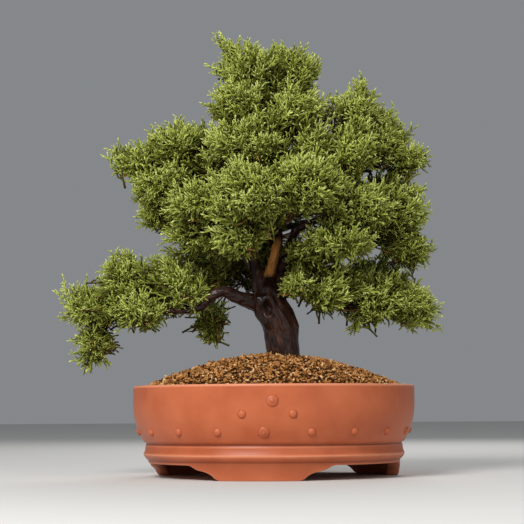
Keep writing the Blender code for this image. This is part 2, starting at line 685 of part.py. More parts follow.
def main():
    for ob in list(bpy.data.objects):
        bpy.data.objects.remove(ob)
    clay = material("unglazed_red_clay", "#be6a45", 0.42)
    plastic = material("mesh_plastic", "#23262a", 0.5)
    metal = material("aluminium_wire", "#8f8a84", 0.4, 1.0)
    earth = material("baked_clay_soil", "#8a5c34", 0.9)
    wood = material("juniper_bark", "#4a2f22", 0.45)
    leaves = material("juniper_leaves", "#74843a", 0.55)

    trunk = trunk_body("trunk", wood)
    branches = make_branches(wood)
    soil = make_soil(earth)
    reach = MESH_PITCH * (MESH_BARS - 1) / 2 + MESH_BAR / 2 + FIT
    mesh_top = FLOOR_TOP + MESH_THICKNESS + 2 * FIT
    corners = [(x, y, z) for z in (FOOT_HEIGHT, mesh_top) for y in (-reach, reach) for x in (-reach, reach)]
    sides = [(0, 1, 3, 2), (4, 5, 7, 6), (0, 1, 5, 4), (1, 3, 7, 5), (3, 2, 6, 7), (2, 0, 4, 6)]
    boolean(soil, solid("mesh_room", corners, sides, earth), "DIFFERENCE")
    boolean(soil, make_clip(metal, grow=FIT, name="clip_room"), "DIFFERENCE")
    boolean(soil, trunk_body("trunk_room", wood, FIT), "DIFFERENCE")
    keep_largest(soil)
    clumps = make_clumps(leaves)
    clear_wood(clumps, wood)
    solids = [make_pot(clay), soil, make_drain_mesh(plastic), make_clip(metal), trunk] + branches + clumps

    boxes = [box_of(ob) for ob in solids]
    low = np.min([b[0] for b in boxes], axis=0)
    high = np.max([b[1] for b in boxes], axis=0)
    stand = bpy.data.objects.new("bonsai", None)
    stand.location = (-(low[0] + high[0]) / 2, -(low[1] + high[1]) / 2, 0)
    bpy.context.scene.collection.objects.link(stand)
    for ob in solids:
        ob.parent = stand


main()
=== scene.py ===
"""Looks for a juniper bonsai in a round red clay pot.

Lengths are metres, +Z is up and the front of the tree faces -Y. The sizes that the pot and the tree share
with the part are written in millimetres. The pot's are from its axis and the table, the tree's from the pot's
axis and the level of its rim.
"""

import math

import bmesh
import bpy
import numpy as np
from mathutils import Matrix, Vector, noise
from mathutils.bvhtree import BVHTree


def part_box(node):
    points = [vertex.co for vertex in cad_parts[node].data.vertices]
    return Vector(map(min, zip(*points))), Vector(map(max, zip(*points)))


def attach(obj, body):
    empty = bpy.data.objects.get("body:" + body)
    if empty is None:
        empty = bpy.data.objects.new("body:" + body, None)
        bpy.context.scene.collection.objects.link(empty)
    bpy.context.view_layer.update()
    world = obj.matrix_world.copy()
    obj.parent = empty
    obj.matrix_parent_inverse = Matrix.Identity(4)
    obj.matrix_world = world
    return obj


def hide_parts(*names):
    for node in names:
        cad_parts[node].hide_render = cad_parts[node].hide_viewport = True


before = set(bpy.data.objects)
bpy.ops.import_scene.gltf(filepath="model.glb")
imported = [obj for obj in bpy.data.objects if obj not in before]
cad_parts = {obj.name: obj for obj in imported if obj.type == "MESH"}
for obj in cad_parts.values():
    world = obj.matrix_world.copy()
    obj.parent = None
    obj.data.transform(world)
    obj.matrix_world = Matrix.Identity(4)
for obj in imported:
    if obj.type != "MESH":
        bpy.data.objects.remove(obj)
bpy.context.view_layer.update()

MM = 0.001

# Pot sizes, the same as the part's
RIM_RADIUS = 120.0
RIM_EDGE = 1.4
WALL = 8.0
WALL_TUCK = 10.6
TUCK_START = 0.24
TUCK_POWER = 2.6
BAND_HEIGHT = 15.5
BAND_STEP = 1.7  # how far the band's ridge stands out from the foot of the wall
FOOT_HEIGHT = 12.5
FOOT_WIDTH = 11.0
FOOT_INSET = 2.4
FLOOR = 8.0
DRAIN_RADIUS = 12.0
FEET = 3
FRONT_FOOT = -6.6
FOOT_HALF_BOTTOM = 19.0
FOOT_HALF_TOP = 33.5
FOOT_END = [(0.0, 0.0), (0.06, 0.15), (0.2, 0.38), (0.44, 0.57), (0.73, 0.67), (0.88, 0.86), (1.0, 0.96)]
STUD_ROW_COUNT = 19
STUD_ROW_FIRST = -3.9
STUD_ROW_DEPTH = 38.5
STUD_RADIUS = 3.4
BIG_STUD_RADIUS = 4.8
STUD_HEIGHT = 1.9
FRONT_STUDS = [(-0.5, 13.7, BIG_STUD_RADIUS), (-12.2, 24.0, STUD_RADIUS), (7.3, 24.0, STUD_RADIUS)]

# The soil's heap, also the same as the part's
SOIL_HEAP = 27.5
SOIL_POWER = 1.8
SOIL_DROP = 1.2
SOIL_GAP = 0.5

# The middle line of the trunk, for the run of its grain
TRUNK_LINE = [
    (11, 1, -14), (10.5, 0.5, 6), (9.5, 0, 25), (8, 0, 37), (6, -0.5, 48), (3, -1, 57), (-1, -1.5, 66),
    (-4, -2, 76), (-4.5, -2, 84), (-3, -2, 93), (-0.5, -2, 102), (2.5, -2, 113), (4.5, -2, 124), (4, 0, 140),
    (0, 4, 158), (-4, 6, 178), (-5, 5, 200), (-3, 2, 225), (-7, 0, 246), (-14, -3, 262),
]

mesh_low, mesh_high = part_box("drain_mesh")
AXIS = np.array([(mesh_low.x + mesh_high.x) / 2, (mesh_low.y + mesh_high.y) / 2, 0.0])
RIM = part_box("pot")[1].z
rng = np.random.default_rng(20)


# ---------------------------------------------------------------- helpers

def linear(hex_colour):
    """An sRGB hex colour as linear red, green, blue and 1."""
    channels = [int(hex_colour[i:i + 2], 16) / 255 for i in (1, 3, 5)]
    return (*[c / 12.92 if c <= 0.04045 else ((c + 0.055) / 1.055) ** 2.4 for c in channels], 1.0)


def add(tree, kind, inputs=None, stops=None, **settings):
    """Adds a node. inputs gives values or other nodes' outputs by socket, stops the colours of a ramp."""
    made = tree.nodes.new(kind)
    for name, value in settings.items():
        setattr(made, name, value)
    if stops:
        ramp = made.color_ramp.elements
        while len(ramp) < len(stops):
            ramp.new(0.5)
        for element, (place, colour) in zip(ramp, stops):
            element.position = place
            element.color = linear(colour)
    feed(tree, made, inputs or {})
    return made


def feed(tree, made, inputs):
    """Gives a node's sockets their values or links."""
    for socket, value in inputs.items():
        if isinstance(value, bpy.types.NodeSocket):
            tree.links.new(value, made.inputs[socket])
        else:
            made.inputs[socket].default_value = value


def new_material(name, **values):
    """A node material, its Principled shader's plain values set by socket name with _ for a space."""
    mat = bpy.data.materials.new(name)
    mat.use_nodes = True
    shader = mat.node_tree.nodes["Principled BSDF"]
    for socket, value in values.items():
        shader.inputs[socket.replace("_", " ")].default_value = value
    return mat, mat.node_tree, shader


def from_axis(points):
    """Millimetres from the pot's axis and the table to metres in the row frame."""
    return np.asarray(points, float) * MM + AXIS


def in_tree(points):
    """Millimetres from the pot's axis and the rim's level to metres in the row frame."""
    return np.asarray(points, float) * MM + AXIS + np.array([0, 0, RIM])


class Bundle:
    """Bodies gathered into one mesh. Each body has a square of its own on the mesh's sheet of colour."""

    def __init__(self):
        self.points, self.corners, self.sizes, self.sheet, self.marks = [], [], [], [], {}
        self.count = 0

    def add(self, points, corners, sizes, sheet, marks):
        self.points.append(points)
        self.corners.append(corners + self.count)
        self.sizes.append(sizes)
        self.sheet.append(sheet)
        for name, values in marks.items():
            self.marks.setdefault(name, []).append(values)
        self.count += len(points)

    def whole(self):
        """The bundle as one body of its own: points, corners, sizes of faces, sheet and marks."""
        grid = math.ceil(math.sqrt(len(self.sheet)))
        sheet = [(s * 0.92 + 0.04 + (i % grid, i // grid)) / grid for i, s in enumerate(self.sheet)]
        marks = {name: np.concatenate(values) for name, values in self.marks.items()}
        return (np.concatenate(self.points), np.concatenate(self.corners), np.concatenate(self.sizes),
                np.concatenate(sheet), marks)


def show(ob, mat, replaced=()):
    """Gives a piece its material, sets it riding and hides the CAD parts that it stands for."""
    ob.data.materials.clear()
    ob.data.materials.append(mat)
    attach(ob, "root")
    if replaced:
        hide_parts(*replaced)
    return ob


def mesh_piece(name, points, corners, sizes, sheet=None, marks=None):
    """A smooth-shaded mesh object from flat arrays."""
    mesh = bpy.data.meshes.new(name)
    mesh.vertices.add(len(points))
    mesh.vertices.foreach_set("co", np.asarray(points, np.float32).ravel())
    mesh.loops.add(len(corners))
    mesh.loops.foreach_set("vertex_index", np.asarray(corners, np.int32))
    mesh.polygons.add(len(sizes))
    starts = np.concatenate([[0], np.cumsum(sizes)[:-1]])
    mesh.polygons.foreach_set("loop_start", np.asarray(starts, np.int32))
    mesh.update(calc_edges=True)
    mesh.shade_smooth()
    if sheet is not None:
        mesh.uv_layers.new(name="OFBake").data.foreach_set("uv", np.asarray(sheet, np.float32).ravel())
    for mark, values in (marks or {}).items():
        mesh.attributes.new(mark, "FLOAT", "POINT").data.foreach_set("value", np.asarray(values, np.float32))
    ob = bpy.data.objects.new(name, mesh)
    bpy.context.scene.collection.objects.link(ob)
    return ob


def unit(vector):
    """The same direction with a length of one."""
    return vector / np.linalg.norm(vector)


def square_to(direction):
    """Two directions square to a direction and to each other."""
    other = np.array([0, 0, 1.0]) if abs(direction[2]) < 0.9 else np.array([1.0, 0, 0])
    first = unit(np.cross(other, direction))
    return first, np.cross(direction, first)


def limb(path, radii, sides):
    """A round limb along a path, closed flat at its start and to a point at its end."""
    count = len(path)
    along = np.gradient(path, axis=0)
    along /= np.linalg.norm(along, axis=1)[:, None]
    first, _ = square_to(along[0])
    turn = np.arange(sides) * 2 * math.pi / sides
    points = []
    for place, direction, radius in zip(path[:-1], along, radii):
        first = unit(first - direction * (first @ direction))
        second = np.cross(direction, first)
        points.append(place + radius * (np.cos(turn)[:, None] * first + np.sin(turn)[:, None] * second))
    points = np.vstack(points + [path[-1:]])
    corners, sizes, sheet = list(range(sides))[::-1], [sides], []
    for k in corners:
        sheet.append((0.91 + 0.07 * math.cos(turn[k]), 0.1 + 0.07 * math.sin(turn[k])))
    wide, tall = 0.8 / sides, 1.0 / (count - 1)
    for row in range(count - 1):
        low, high = row * sides, (row + 1) * sides
        for k in range(sides):
            j = (k + 1) % sides
            left, right, bottom, top = k * wide, (k + 0.97) * wide, row * tall, (row + 1) * tall
            if row < count - 2:
                corners += [low + k, low + j, high + j, high + k]
                sheet += [(left, bottom), (right, bottom), (right, top), (left, top)]
                sizes.append(4)
            else:
                corners += [low + k, low + j, high]
                sheet += [(left, bottom), (right, bottom), ((left + right) / 2, top)]
                sizes.append(3)
    share = np.append(np.repeat(np.linspace(0, 1, count)[:-1], sides), 1.0)
    return points, np.array(corners), np.array(sizes), np.array(sheet), share


# ---------------------------------------------------------------- finishes

def burnished_clay():
    """Unglazed red stoneware, rubbed smooth before firing: an even matt red with a soft broad sheen, pale
    where the edges are rubbed, with a painted highlight along the band's ridge and on the stud tips, and
    with painted shade in the grooves, under the band, inside and under the pot and round the studs."""
    mat, tree, shader = new_material("burnished_red_stoneware", IOR=1.5, Specular_IOR_Level=0.35)
    place = add(tree, "ShaderNodeTexCoord").outputs["Object"]
    cloud = add(tree, "ShaderNodeTexNoise", {"Vector": place, "Scale": 38.0, "Detail": 3.0})
    body = add(tree, "ShaderNodeValToRGB", {"Fac": cloud.outputs["Fac"]},
               stops=[(0.3, "#b05630"), (0.5, "#ba6039"), (0.72, "#c26842")])
    worn = add(tree, "ShaderNodeAttribute", attribute_name="worn").outputs["Fac"]
    # pale rubbed edges, and a painted highlight along the band's ridge and on the stud tips
    edge = add(tree, "ShaderNodeMix", {"Factor": worn, 6: body.outputs["Color"], 7: linear("#da8c68")},
               data_type="RGBA")
    grime = add(tree, "ShaderNodeAttribute", attribute_name="grime").outputs["Fac"]
    # 7c3a20 is painted shade: in the grooves, under the band, inside and under the pot, round the studs
    dull = add(tree, "ShaderNodeMix", {"Factor": grime, 6: edge.outputs[2], 7: linear("#7c3a20")},
               data_type="RGBA")
    speck = add(tree, "ShaderNodeTexVoronoi", {"Vector": place, "Scale": 1100.0})
    fleck = add(tree, "ShaderNodeMapRange", {"Value": speck.outputs["Distance"], "From Min": 0.1,
                                             "From Max": 0.32, "To Min": 0.16, "To Max": 0.0})
    spotted = add(tree, "ShaderNodeMix",
                  {"Factor": fleck.outputs[0], 6: dull.outputs[2], 7: linear("#7d4630")}, data_type="RGBA")
    sheen = add(tree, "ShaderNodeMapRange", {"Value": cloud.outputs["Fac"], "To Min": 0.36, "To Max": 0.52})
    grain = add(tree, "ShaderNodeTexNoise", {"Vector": place, "Scale": 1500.0, "Detail": 2.0})
    bump = add(tree, "ShaderNodeBump", {"Height": grain.outputs["Fac"], "Strength": 0.12, "Distance": 0.0004})
    feed(tree, shader, {"Base Color": spotted.outputs[2], "Roughness": sheen.outputs[0],
                        "Normal": bump.outputs[0]})
    return mat


def grain_soil():
    """Crushed fired-clay grain soil mixed with bark: dusty tan to orange chips, each its own shade, with no
    gloss."""
    mat, tree, shader = new_material("fired_clay_grain_soil", Roughness=0.88, IOR=1.4, Specular_IOR_Level=0.2)
    place = add(tree, "ShaderNodeTexCoord").outputs["Object"]
    tone = add(tree, "ShaderNodeAttribute", attribute_name="tone").outputs["Fac"]
    mottle = add(tree, "ShaderNodeTexNoise", {"Vector": place, "Scale": 900.0, "Detail": 3.0})
    shift = add(tree, "ShaderNodeMath", {0: mottle.outputs["Fac"], 1: 0.28, 2: -0.14},
                operation="MULTIPLY_ADD")
    total = add(tree, "ShaderNodeMath", {0: tone, 1: shift.outputs[0]}, operation="ADD")
    colour = add(tree, "ShaderNodeValToRGB", {"Fac": total.outputs[0]},
                 stops=[(0.0, "#1e0b03"), (0.2, "#5f3918"), (0.45, "#a36b35"), (0.75, "#c89055"),
                        (1.0, "#e8c08c")])
    bump = add(tree, "ShaderNodeBump", {"Height": mottle.outputs["Fac"], "Strength": 0.5, "Distance": 0.0004})
    feed(tree, shader, {"Base Color": colour.outputs["Color"], "Normal": bump.outputs[0]})
    return mat


def wet_bark():
    """Juniper bark just watered: dark brown fibres running with the stem, red where flakes have come away,
    with a wet sheen. Where it is stripped, bare orange wood shows."""
    mat, tree, shader = new_material("wet_juniper_bark", IOR=1.4, Coat_Weight=0.18, Coat_Roughness=0.12,
                                      Specular_IOR_Level=0.25)
    run = add(tree, "ShaderNodeAttribute", attribute_name="grain").outputs["Vector"]
    fine = add(tree, "ShaderNodeVectorMath", {0: run, 1: (1100.0, 120.0, 300.0)}, operation="MULTIPLY")
    fibre = add(tree, "ShaderNodeTexNoise", {"Vector": fine.outputs[0], "Scale": 1.0, "Detail": 5.0,
                                             "Roughness": 0.62, "Distortion": 0.4})
    broad = add(tree, "ShaderNodeVectorMath", {0: run, 1: (190.0, 60.0, 90.0)}, operation="MULTIPLY")
    flake = add(tree, "ShaderNodeTexNoise", {"Vector": broad.outputs[0], "Scale": 1.0, "Detail": 4.0})
    part = add(tree, "ShaderNodeMath", {0: fibre.outputs["Fac"], 1: 0.6}, operation="MULTIPLY")
    total = add(tree, "ShaderNodeMath", {0: flake.outputs["Fac"], 1: 0.5, 2: part.outputs[0]},
                operation="MULTIPLY_ADD")
    colour = add(tree, "ShaderNodeValToRGB", {"Fac": total.outputs[0]},
                 stops=[(0.36, "#090403"), (0.5, "#1d0e09"), (0.64, "#3d2116"), (0.8, "#764a39")])
    bare = add(tree, "ShaderNodeValToRGB", {"Fac": fibre.outputs["Fac"]},
               stops=[(0.3, "#8a5222"), (0.5, "#c0803c"), (0.7, "#dda765")])
    stripped = add(tree, "ShaderNodeAttribute", attribute_name="stripped").outputs["Fac"]
    mixed = add(tree, "ShaderNodeMix",
                {"Factor": stripped, 6: colour.outputs["Color"], 7: bare.outputs["Color"]}, data_type="RGBA")
    sheen = add(tree, "ShaderNodeMapRange", {"Value": flake.outputs["Fac"], "From Min": 0.3, "From Max": 0.7,
                                             "To Min": 0.3, "To Max": 0.55})
    bump = add(tree, "ShaderNodeBump", {"Height": total.outputs[0], "Strength": 0.8, "Distance": 0.0009})
    feed(tree, shader, {"Base Color": mixed.outputs[2], "Roughness": sheen.outputs[0],
                        "Normal": bump.outputs[0]})
    return mat


def scale_leaves():
    """Juniper scale leaves: waxy yellow-green growing tips over older, deeper green shoots, brown at the base
    of the spray where the scales have died. Sprays in shade are also drawn older, darker and browner as
    painted shade."""
    mat, tree, shader = new_material("juniper_scale_leaves", Roughness=0.55, IOR=1.42,
                                      Specular_IOR_Level=0.25)
    place = add(tree, "ShaderNodeTexCoord").outputs["Object"]
    reach = add(tree, "ShaderNodeAttribute", attribute_name="reach").outputs["Fac"]
    tone = add(tree, "ShaderNodeAttribute", attribute_name="tone").outputs["Fac"]
    scales = add(tree, "ShaderNodeTexNoise", {"Vector": place, "Scale": 700.0, "Detail": 1.0})
    lift = add(tree, "ShaderNodeMath", {0: tone, 1: 0.42, 2: -0.21}, operation="MULTIPLY_ADD")
    some = add(tree, "ShaderNodeMath", {0: scales.outputs["Fac"], 1: 0.2, 2: lift.outputs[0]},
               operation="MULTIPLY_ADD")
    total = add(tree, "ShaderNodeMath", {0: reach, 1: some.outputs[0]}, operation="ADD")
    colour = add(tree, "ShaderNodeValToRGB", {"Fac": total.outputs[0]},
                 stops=[(0.0, "#38250d"), (0.25, "#484514"), (0.55, "#6c7126"), (0.8, "#9ea848"),
                        (1.0, "#ccd27a")])
    feed(tree, shader, {"Base Color": colour.outputs["Color"]})
    return mat


def twig_bark():
    """Thin juniper twigs: smooth orange-brown young bark, darker and flaky towards the branch."""
    mat, tree, shader = new_material("young_juniper_bark", Roughness=0.6, IOR=1.4)
    place = add(tree, "ShaderNodeTexCoord").outputs["Object"]
    age = add(tree, "ShaderNodeAttribute", attribute_name="tone").outputs["Fac"]
    flake = add(tree, "ShaderNodeTexNoise", {"Vector": place, "Scale": 500.0, "Detail": 3.0})
    total = add(tree, "ShaderNodeMath", {0: flake.outputs["Fac"], 1: 0.5, 2: age}, operation="MULTIPLY_ADD")
    colour = add(tree, "ShaderNodeValToRGB", {"Fac": total.outputs[0]},
                 stops=[(0.2, "#38220f"), (0.5, "#6b4822"), (0.8, "#966a34"), (1.0, "#b58a4a")])
    feed(tree, shader, {"Base Color": colour.outputs["Color"]})
    return mat


def extruded_plastic():
    """Extruded polypropylene drainage mesh: near-black, a low moulded gloss, dusted with clay."""
    mat, tree, shader = new_material("extruded_polypropylene_mesh", IOR=1.49)
    place = add(tree, "ShaderNodeTexCoord").outputs["Object"]
    dust = add(tree, "ShaderNodeTexNoise", {"Vector": place, "Scale": 400.0, "Detail": 4.0})
    colour = add(tree, "ShaderNodeValToRGB", {"Fac": dust.outputs["Fac"]},
                 stops=[(0.45, "#202326"), (0.75, "#5b4a3c")])
    sheen = add(tree, "ShaderNodeMapRange", {"Value": dust.outputs["Fac"], "To Min": 0.4, "To Max": 0.65})
    feed(tree, shader, {"Base Color": colour.outputs["Color"], "Roughness": sheen.outputs[0]})
    return mat


def annealed_wire():
    """Soft annealed aluminium wire: dull grey metal with faint drawing lines."""
    mat, tree, shader = new_material("annealed_aluminium_wire", Metallic=1.0)
    place = add(tree, "ShaderNodeTexCoord").outputs["Object"]
    drawn = add(tree, "ShaderNodeTexNoise", {"Vector": place, "Scale": 900.0, "Detail": 2.0})
    colour = add(tree, "ShaderNodeValToRGB", {"Fac": drawn.outputs["Fac"]},
                 stops=[(0.3, "#8b8580"), (0.7, "#a9a49e")])
    sheen = add(tree, "ShaderNodeMapRange", {"Value": drawn.outputs["Fac"], "To Min": 0.34, "To Max": 0.5})
    feed(tree, shader, {"Base Color": colour.outputs["Color"], "Roughness": sheen.outputs[0]})
    return mat


# ---------------------------------------------------------------- pot

POT_SIDES = 720
STUD_SIDES = 32
DRAIN_EDGE = 0.6  # the broken edge of the drainage hole
FOOT_EDGE = 0.8  # how high the rounding of a foot's lower edges reaches
BAND_TOP = FOOT_HEIGHT + BAND_HEIGHT
POT_HEIGHT = RIM / MM
WALL_FOOT_RADIUS = RIM_RADIUS - WALL_TUCK
FOOT_OUTER = WALL_FOOT_RADIUS - FOOT_INSET
FOOT_INNER = FOOT_OUTER - FOOT_WIDTH
FLOOR_TOP = FOOT_HEIGHT + FLOOR
FLOOR_RADIUS = WALL_FOOT_RADIUS - WALL * 1.6  # the flat of the floor, inside


def wall_radius(height):
    """The wall's outer radius: upright under the rim, then tucking in towards the band."""
    share = (POT_HEIGHT - height) / (POT_HEIGHT - BAND_TOP)
    tuck = min(1.0, max(0.0, (share - TUCK_START) / (1 - TUCK_START)))
    return RIM_RADIUS - WALL_TUCK * tuck ** TUCK_POWER


def foot_underside(angle):
    """Height of the foot ring's underside at an angle in radians."""
    pitch = 360 / FEET
    off = abs((math.degrees(angle) - FRONT_FOOT + pitch / 2) % pitch - pitch / 2)
    share = (off - FOOT_HALF_BOTTOM) / (FOOT_HALF_TOP - FOOT_HALF_BOTTOM)
    shares, heights = zip(*FOOT_END)
    return FOOT_HEIGHT * float(np.interp(share, shares, heights))


def arc(centre, radius, start, end, steps):
    """Points of a round edge in the pot's section, the angles in degrees."""
    return [(centre[0] + radius * math.cos(a), centre[1] + radius * math.sin(a))
            for a in np.radians(np.linspace(start, end, steps))]


def pot_section():
    """The pot's section from inside the rim, over it and down to the foot ring, with its wear and painted
    highlight and its painted shade at each point."""
    # each row: radius, height, wear with painted highlight, painted shade; the inside wall has painted shade
    rows = [(wall_radius(h) - WALL, h, 0.0, 0.35)
            for h in np.linspace(FLOOR_TOP + 4, POT_HEIGHT - RIM_EDGE, 6)]
    inner = (RIM_RADIUS - WALL + RIM_EDGE, POT_HEIGHT - RIM_EDGE)
    rows += [(r, h, 0.55, 0.0) for r, h in arc(inner, RIM_EDGE, 170, 95, 4)]
    rows += [(RIM_RADIUS - WALL / 2, POT_HEIGHT, 0.1, 0.0)]
    outer = (RIM_RADIUS - RIM_EDGE, POT_HEIGHT - RIM_EDGE)
    rows += [(r, h, 0.85, 0.0) for r, h in arc(outer, RIM_EDGE, 88, 8, 6)]
    rows += [(wall_radius(h), h, 0.0, 0.0) for h in np.linspace(POT_HEIGHT - 2.4, BAND_TOP + 1.6, 30)]
    foot = WALL_FOOT_RADIUS
    ridge = foot + BAND_STEP
    # painted shade in the groove, on the band's upper slope and under it; a painted highlight on its ridge
    rows += [(foot - 0.05, BAND_TOP + 1.2, 0.0, 0.1), (foot - 0.5, BAND_TOP + 0.5, 0.0, 0.8),
             (foot - 0.65, BAND_TOP, 0.0, 1.0), (foot - 0.3, BAND_TOP - 0.6, 0.2, 0.5),
             (foot, BAND_TOP - 1.1, 0.3, 0.1), (foot + 0.1, BAND_TOP - 2.6, 0.0, 0.2),
             (foot + 0.3, BAND_TOP - 4.2, 0.0, 0.2), (foot + 0.65, BAND_TOP - 5.6, 0.0, 0.25),
             (ridge - 0.6, BAND_TOP - 6.8, 0.0, 0.15), (ridge - 0.15, BAND_TOP - 7.6, 0.3, 0.0),
             (ridge, BAND_TOP - 8.2, 0.9, 0.0), (ridge - 0.08, BAND_TOP - 8.8, 0.7, 0.0),
             (ridge - 0.45, BAND_TOP - 9.7, 0.2, 0.0), (ridge - 1.1, BAND_TOP - 10.8, 0.0, 0.0),
             (ridge - 2.0, BAND_TOP - 11.9, 0.0, 0.1), (ridge - 3.0, BAND_TOP - 12.9, 0.0, 0.4),
             (FOOT_OUTER + 0.3, BAND_TOP - 13.6, 0.0, 0.8), (FOOT_OUTER, BAND_TOP - 14.2, 0.0, 0.5)]
    return rows


def make_pot(clay):
    """The pot's body turned about its axis, with cloud-shaped feet cut from its foot ring."""
    angles = np.arange(POT_SIDES) * 2 * math.pi / POT_SIDES
    under = np.array([foot_underside(a) for a in angles])
    under = np.mean([np.roll(under, k) for k in range(-3, 4)], axis=0)
    sin, cos = np.sin(angles), -np.cos(angles)
    # foot ring: lower edges pale from wear; its underside, the drain hole and the floor: painted shade
    rings = pot_section() + [
        (FOOT_OUTER, under + FOOT_EDGE, 0.1, 0.0), (FOOT_OUTER - 0.3, under + 0.25, 0.6, 0.0),
        (FOOT_OUTER - 1.0, under, 0.5, 0.2), (FOOT_INNER + 1.0, under, 0.4, 0.3),
        (FOOT_INNER, under + FOOT_EDGE, 0.3, 0.3), (FOOT_INNER, FOOT_HEIGHT, 0.0, 0.4),
        (DRAIN_RADIUS + DRAIN_EDGE, FOOT_HEIGHT, 0.0, 0.4),
        (DRAIN_RADIUS, FOOT_HEIGHT + DRAIN_EDGE, 0.0, 0.4), (DRAIN_RADIUS, FLOOR_TOP - DRAIN_EDGE, 0.0, 0.4),
        (DRAIN_RADIUS + DRAIN_EDGE, FLOOR_TOP, 0.0, 0.4), (FLOOR_RADIUS, FLOOR_TOP, 0.0, 0.4)]
    points = np.concatenate([np.stack([r * sin, r * cos, h + 0 * sin], axis=1) for r, h, _, _ in rings])
    a = np.arange(len(points)).reshape(-1, POT_SIDES)
    b = np.roll(a, -1, axis=1)
    below_a, below_b = np.roll(a, -1, axis=0), np.roll(b, -1, axis=0)
    quads = np.stack([a, below_a, below_b, b], axis=-1).reshape(-1, 4)
    worn, grime = (np.repeat([ring[i] for ring in rings], POT_SIDES) for i in (2, 3))
    pot = mesh_piece("pot_body", from_axis(points), quads.ravel(), np.full(len(quads), 4),
                     marks={"worn": worn, "grime": grime})
    return show(pot, clay, ["pot"])


def make_studs(clay):
    """The studs, pressed on: knobs, and on the two big ones a nipple in a shallow dish. A section lists how
    far out each point is, as a share of the radius, how high, as a share of the height, and how much
    painted shade it has, darkest round the foot of the stud and in the dish."""
    studs = [(STUD_ROW_FIRST + i * 360 / STUD_ROW_COUNT, STUD_ROW_DEPTH, STUD_RADIUS)
             for i in range(STUD_ROW_COUNT)]
    studs[0] = (STUD_ROW_FIRST, STUD_ROW_DEPTH, BIG_STUD_RADIUS)
    knob = [(1.12, -0.6, 0.8), (1.04, 0.02, 0.9), (0.95, 0.16, 0.4), (0.87, 0.38, 0.0), (0.76, 0.62, 0.0),
            (0.61, 0.82, 0.0), (0.43, 0.95, 0.0), (0.22, 1.02, 0.0), (0.08, 1.04, 0.0)]
    nipple = [(1.1, -0.6, 0.8), (1.02, 0.02, 0.9), (0.95, 0.2, 0.3), (0.85, 0.42, 0.0), (0.7, 0.62, 0.0),
              (0.52, 0.74, 0.1), (0.34, 0.8, 0.4), (0.22, 0.96, 0.1), (0.11, 1.14, 0.0)]
    bundle = Bundle()
    turn = np.arange(STUD_SIDES) * 2 * math.pi / STUD_SIDES
    for angle, depth, radius in studs + FRONT_STUDS:
        height = POT_HEIGHT - depth
        slope = (wall_radius(height + 1) - wall_radius(height - 1)) / 2
        a = math.radians(angle)
        out = unit(np.array([math.sin(a), -math.cos(a), -slope]))
        across = np.array([math.cos(a), math.sin(a), 0])
        up = np.cross(out, across)
        centre = np.array([math.sin(a) * wall_radius(height), -math.cos(a) * wall_radius(height), height])
        section = nipple if radius == BIG_STUD_RADIUS else knob
        points = np.concatenate([
            centre + out * rise * STUD_HEIGHT
            + radius * share * (np.cos(turn)[:, None] * across + np.sin(turn)[:, None] * up)
            for share, rise, _ in section] + [[centre + out * (section[-1][1] + 0.02) * STUD_HEIGHT]])
        corners, sizes = list(range(STUD_SIDES))[::-1], [STUD_SIDES]
        for row in range(len(section)):
            for k in range(STUD_SIDES):
                low, j, high = row * STUD_SIDES, (k + 1) % STUD_SIDES, (row + 1) * STUD_SIDES
                if row < len(section) - 1:
                    corners += [low + k, low + j, high + j, high + k]
                    sizes.append(4)
                else:
                    corners += [low + k, low + j, high]
                    sizes.append(3)
        # painted shade round the stud's foot and in the dish; a painted highlight on its tip
        grime = np.append(np.repeat([s[2] for s in section], STUD_SIDES), 0.0)
        worn = np.append(np.zeros(len(section) * STUD_SIDES), 0.5)
        bundle.add(points, np.array(corners), np.array(sizes), np.zeros((len(corners), 2)),
                   {"worn": worn, "grime": grime * 0.6})
    points, corners, sizes, _, marks = bundle.whole()
    return show(mesh_piece("pot_studs", from_axis(points), corners, sizes, marks=marks), clay)


# ---------------------------------------------------------------- soil

SOIL_EDGE = wall_radius(POT_HEIGHT) - WALL - SOIL_GAP
BED_SIDES = 180
CHIP_SINK = 2.2  # how far the bed lies under the tops of the chips
CHIP_KINDS = 16
CHIP_COUNT = 6000


def heap_height(x, y):
    """Height of the soil's surface above the table, from the pot's axis."""
    share = min(1.0, math.hypot(x, y) / SOIL_EDGE)
    rough = 1.1 * noise.noise(Vector((x, y, 0)) * 0.07) * (1 - share ** 4)
    return POT_HEIGHT - SOIL_DROP + (SOIL_HEAP + SOIL_DROP) * (1 - share ** SOIL_POWER) + rough


def make_soil_bed(soil):
    """What lies under the chips, filling the pot: crumbs coloured near-black, painted shade for the gaps
    between the chips.
    """
    angles = np.arange(BED_SIDES) * 2 * math.pi / BED_SIDES
    rings = [(FLOOR_RADIUS - 2, FLOOR_TOP + 2)]
    rings += [(wall_radius(h) - WALL - SOIL_GAP, h) for h in np.linspace(FLOOR_TOP + 6, POT_HEIGHT - 4, 5)]
    points = [(r * math.sin(a), -r * math.cos(a), h) for r, h in rings for a in angles]
    for share in np.linspace(1, 0.012, 60):
        for a in angles:
            x, y = SOIL_EDGE * share * math.sin(a), -SOIL_EDGE * share * math.cos(a)
            crumb = 0.7 * noise.noise(Vector((x, y, 3)) * 0.5)
            points.append((x, y, heap_height(x, y) - CHIP_SINK + crumb))
    a = np.arange(len(points)).reshape(-1, BED_SIDES)
    b = np.roll(a, -1, axis=1)
    quads = np.stack([a[:-1], b[:-1], b[1:], a[1:]], axis=-1).reshape(-1, 4)
    corners = np.concatenate([quads.ravel(), a[0][::-1], a[-1]])
    sizes = np.concatenate([np.full(len(quads), 4), [BED_SIDES, BED_SIDES]])
    # painted shade: the bed is near-black so that the gaps between the chips read dark
    dark = {"tone": np.full(len(points), 0.06)}
    bed = mesh_piece("soil_bed", from_axis(points), corners, sizes, marks=dark)
    return show(bed, soil, ["soil"])


